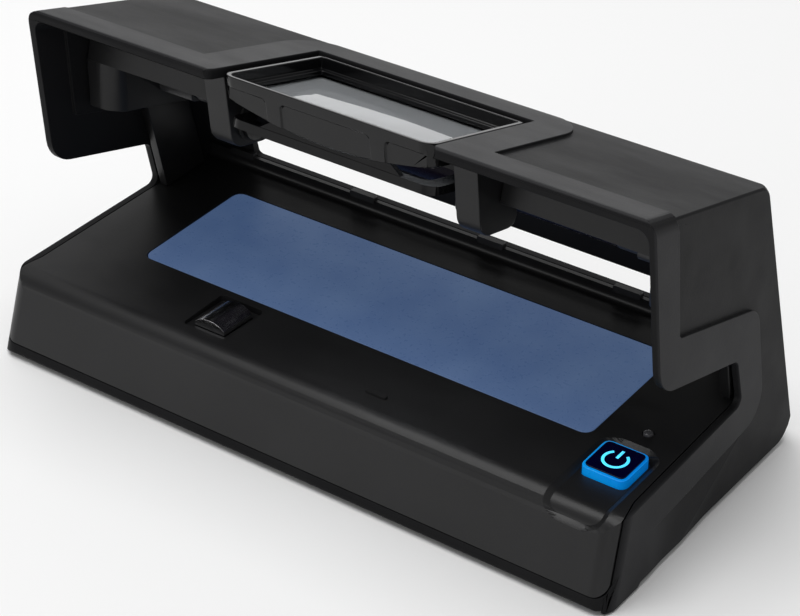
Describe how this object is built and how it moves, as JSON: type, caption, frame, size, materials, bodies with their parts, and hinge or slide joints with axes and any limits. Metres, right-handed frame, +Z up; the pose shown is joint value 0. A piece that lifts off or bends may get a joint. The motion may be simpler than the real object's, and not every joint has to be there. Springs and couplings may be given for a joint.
{
  "type": "counterfeit bill detector",
  "caption": "Desktop banknote checker: ultraviolet lamp under a C-shaped hood, backlit deck with a magnetic head, lit power button and a tilting magnifier.",
  "frame": {"origin": "middle of the footprint, on the plane that the rubber feet stand on", "axes": "+X along the long side towards the power button, +Y towards the back with its note slot, +Z up"},
  "size_m": [0.21, 0.1008, 0.1042],
  "materials": {
    "casing": "fine matt grain, black",
    "deck": "fine matt grain, black",
    "inner_casing": "fine matt grain, black",
    "foot_rubber": "matt black",
    "washer_rubber": "matt black",
    "screw_steel": "zinc plated",
    "pin_steel": "turned, plain",
    "head_chrome": "polished crown with a fine gap line",
    "gloss_frame": "glossy black",
    "lens_clear": "clear moulded lens",
    "retainer": "matt black",
    "lamp_glass": "dark violet filter glass, lit",
    "lamp_metal": "bright",
    "lamp_holder": "white moulded",
    "window_blue": "translucent slate blue, softly lit",
    "tray_white": "white",
    "board_green": "solder-masked board",
    "component_black": "moulded component",
    "indicator": "smoked clear dome",
    "button_blue": "translucent blue, lit from inside",
    "legend_navy": "dark navy film with a cyan power symbol"
  },
  "bodies": {
    "casing": {"outer_shell": "casing", "deck_cover": "deck", "base_plate": "casing", "rubber_foot_front_left": "foot_rubber", "rubber_foot_front_right": "foot_rubber", "rubber_foot_rear_left": "foot_rubber", "rubber_foot_rear_right": "foot_rubber", "base_screw_front_left": "screw_steel", "base_screw_front_right": "screw_steel", "base_screw_rear_left": "screw_steel", "base_screw_rear_right": "screw_steel", "hood_liner": "inner_casing", "leg_cover_left": "inner_casing", "leg_cover_right": "inner_casing", "pivot_bracket_left": "inner_casing", "pivot_bracket_right": "inner_casing", "backlight_window": "window_blue", "backlight_tray": "tray_white", "backlight_board": "board_green", "magnetic_head": "head_chrome", "head_carrier": "component_black", "indicator_lens": "indicator", "tact_switch": "component_black", "switch_board": "board_green", "main_board": "board_green", "ballast_transformer": "component_black", "buzzer": "component_black", "board_screw_1": "screw_steel", "board_screw_2": "screw_steel", "dc_inlet": "component_black", "friction_washer_left": "washer_rubber", "friction_washer_right": "washer_rubber", "uv_lamp_tube": "lamp_glass", "lamp_cap_left": "lamp_metal", "lamp_holder_left": "lamp_holder", "lamp_cap_right": "lamp_metal", "lamp_holder_right": "lamp_holder", "lamp_reflector": "lamp_metal", "liner_screw_front_left": "screw_steel", "liner_screw_front_right": "screw_steel", "liner_screw_rear_left": "screw_steel", "liner_screw_rear_right": "screw_steel"},
    "magnifier": {"magnifier_frame": "gloss_frame", "magnifier_lens": "lens_clear", "lens_retainer": "retainer", "magnifier_cradle": "gloss_frame", "pivot_pin_left": "pin_steel", "pivot_pin_right": "pin_steel"},
    "power_button": {"power_button_cap": "button_blue", "power_button_legend": "legend_navy", "switch_plunger": "component_black"}
  },
  "joints": [
    {"name": "magnifier_tilt", "type": "hinge", "parent": "casing", "child": "magnifier", "pos_m": [0, -0.0127, 0.08248], "axis": [1, 0, 0], "range_deg": [0, 35]},
    {"name": "power_button_press", "type": "slide", "parent": "casing", "child": "power_button", "axis": [0, 0, -1], "range_m": [0, 0.0009], "stiffness_N_per_m": 700, "springref_m": -0.0006}
  ]
}
